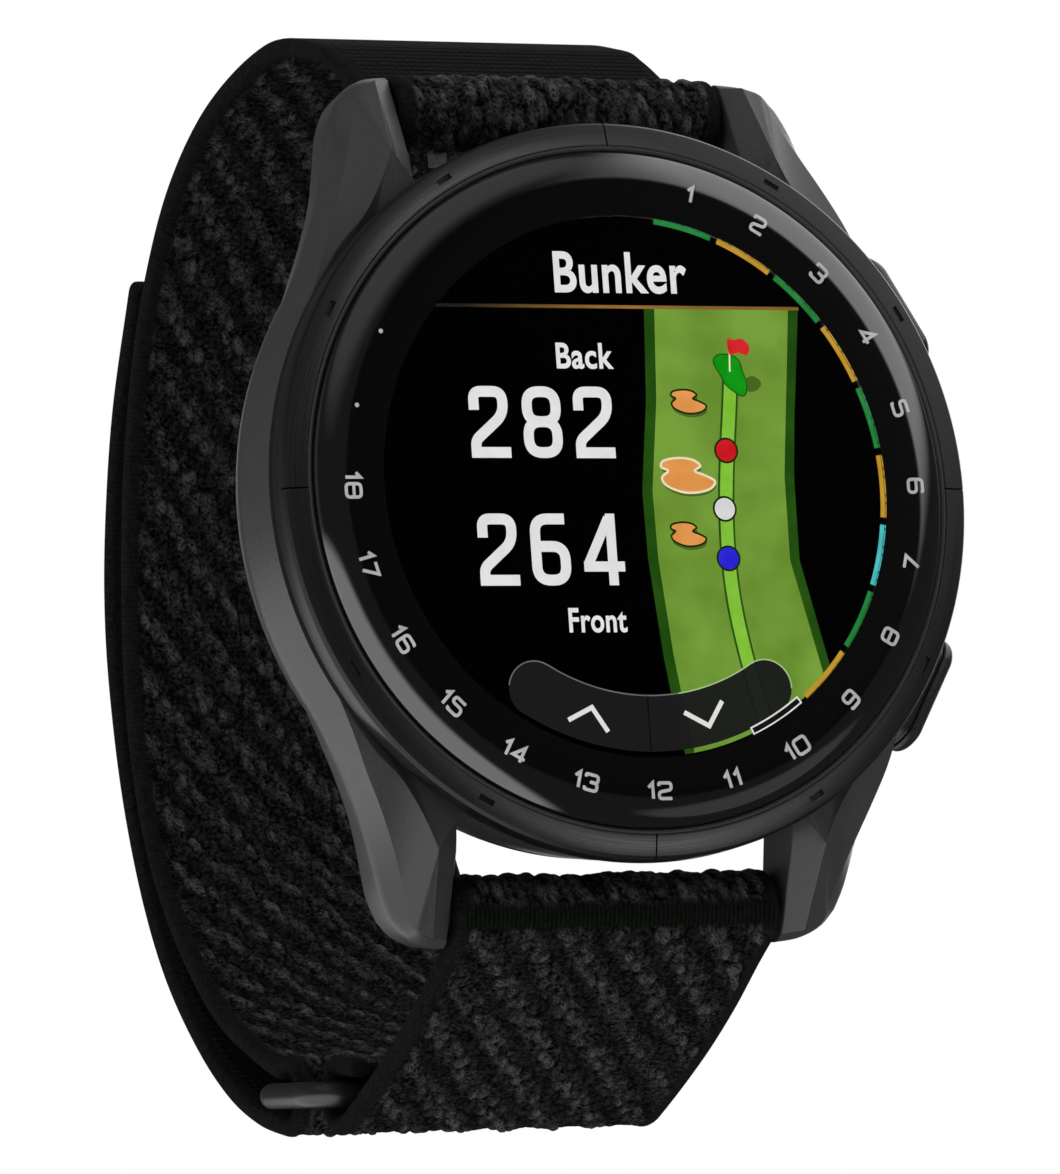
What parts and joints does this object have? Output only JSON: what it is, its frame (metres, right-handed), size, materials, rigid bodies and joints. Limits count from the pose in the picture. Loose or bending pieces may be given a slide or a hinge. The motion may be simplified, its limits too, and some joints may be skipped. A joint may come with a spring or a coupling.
{
  "type": "golf gps watch",
  "caption": "Round golf GPS watch with domed lens, dark metal bezel, side buttons, four-lug polymer case, sensor back and a black woven strap that loops through a metal ring.",
  "frame": {"origin": "centre of the flat sensor window on the case back, where the watch rests on the wrist", "axes": "+X to the 3 o'clock side with the buttons, +Z to 12 o'clock, +Y from the face through the case to the wrist"},
  "size_m": [0.043, 0.058, 0.0644],
  "materials": {
    "case_polymer": "fibre-reinforced polymer, fine matte grain",
    "bezel_metal": "dark anodised, finely brushed round",
    "black_plastic": "black, semi-matte",
    "black_rubber": "soft black seal",
    "lens_glass": "polished domed glass",
    "display_black": "display stack, black when off",
    "steel": "satin steel",
    "ring_metal": "satin dark grey coating",
    "board_green": "circuit board laminate",
    "flex_amber": "flexible circuit",
    "cell_foil": "foil pouch",
    "contact_gold": "gold-plated",
    "sensor_glass": "polished dark window",
    "strap_fabric": "black woven nylon, loop pile",
    "hook_tape": "black hook tape"
  },
  "bodies": {
    "case": {"mid_case": "case_polymer", "bezel": "bezel_metal", "recess_ring": "black_plastic", "lens": "lens_glass", "lens_gasket": "black_rubber", "display_panel": "display_black", "display_frame": "black_plastic", "display_flex": "flex_amber", "antenna_ring": "contact_gold", "main_board": "board_green", "gps_chip": "black_plastic", "shield_can": "steel", "battery": "cell_foil", "vibration_motor": "steel", "button_flex": "flex_amber", "sensor_board": "board_green", "sensor_window": "sensor_glass", "back_gasket": "black_rubber", "back_cover": "case_polymer", "back_screw_1": "steel", "back_screw_2": "steel", "back_screw_3": "steel", "back_screw_4": "steel", "charging_port": "black_plastic", "contact_pin_1": "contact_gold", "contact_pin_2": "contact_gold", "contact_pin_3": "contact_gold", "contact_pin_4": "contact_gold", "upper_button_seal": "black_rubber", "upper_switch": "steel", "lower_button_seal": "black_rubber", "lower_switch": "steel", "top_bar_tube": "steel", "top_bar_spring": "steel", "bottom_bar_tube": "steel", "bottom_bar_spring": "steel"},
    "upper_button_body": {"upper_button": "black_plastic", "upper_button_clip": "steel"},
    "lower_button_body": {"lower_button": "black_plastic", "lower_button_clip": "steel"},
    "top_release": {"top_release_pin": "steel"},
    "bottom_release": {"bottom_release_pin": "steel"},
    "long_strap_body": {"long_strap": "strap_fabric"},
    "flap_body": {"strap_flap": "strap_fabric", "hook_pad": "hook_tape"},
    "short_strap_body": {"short_strap": "strap_fabric"},
    "ring_body": {"strap_ring": "ring_metal"}
  },
  "joints": [
    {"name": "upper_button_press", "type": "slide", "parent": "case", "child": "upper_button_body", "axis": [-0.866, 0, -0.5], "range_m": [0, 0.0005], "stiffness_N_per_m": 1200, "springref_m": -0.0008},
    {"name": "lower_button_press", "type": "slide", "parent": "case", "child": "lower_button_body", "axis": [-0.866, 0, 0.5], "range_m": [0, 0.0005], "stiffness_N_per_m": 1200, "springref_m": -0.0008},
    {"name": "top_release_slide", "type": "slide", "parent": "case", "child": "top_release", "axis": [1, 0, 0], "range_m": [0, 0.0012], "stiffness_N_per_m": 600, "springref_m": -0.0015, "deforming": ["top_bar_spring"]},
    {"name": "bottom_release_slide", "type": "slide", "parent": "case", "child": "bottom_release", "axis": [1, 0, 0], "range_m": [0, 0.0012], "stiffness_N_per_m": 600, "springref_m": -0.0015, "deforming": ["bottom_bar_spring"]},
    {"name": "long_strap_swing", "type": "hinge", "parent": "case", "child": "long_strap_body", "pos_m": [0, -0.003, 0.0229], "axis": [1, 0, 0], "range_deg": [-3, 0]},
    {"name": "short_strap_swing", "type": "hinge", "parent": "case", "child": "short_strap_body", "pos_m": [0, -0.003, -0.0229], "axis": [1, 0, 0], "range_deg": [-13, 0]},
    {"name": "ring_tilt", "type": "hinge", "parent": "short_strap_body", "child": "ring_body", "pos_m": [0, 0.0143, -0.031], "axis": [1, 0, 0], "range_deg": [0, 32]},
    {"name": "flap_peel", "type": "hinge", "parent": "long_strap_body", "child": "flap_body", "pos_m": [0, 0.0221, -0.0302], "axis": [-1, 0, 0], "range_deg": [0, 55]}
  ],
  "couplings": [
    {"joint": "long_strap_swing", "follows": "short_strap_swing", "ratio": 0.23},
    {"joint": "ring_tilt", "follows": "short_strap_swing", "ratio": -2.437}
  ]
}
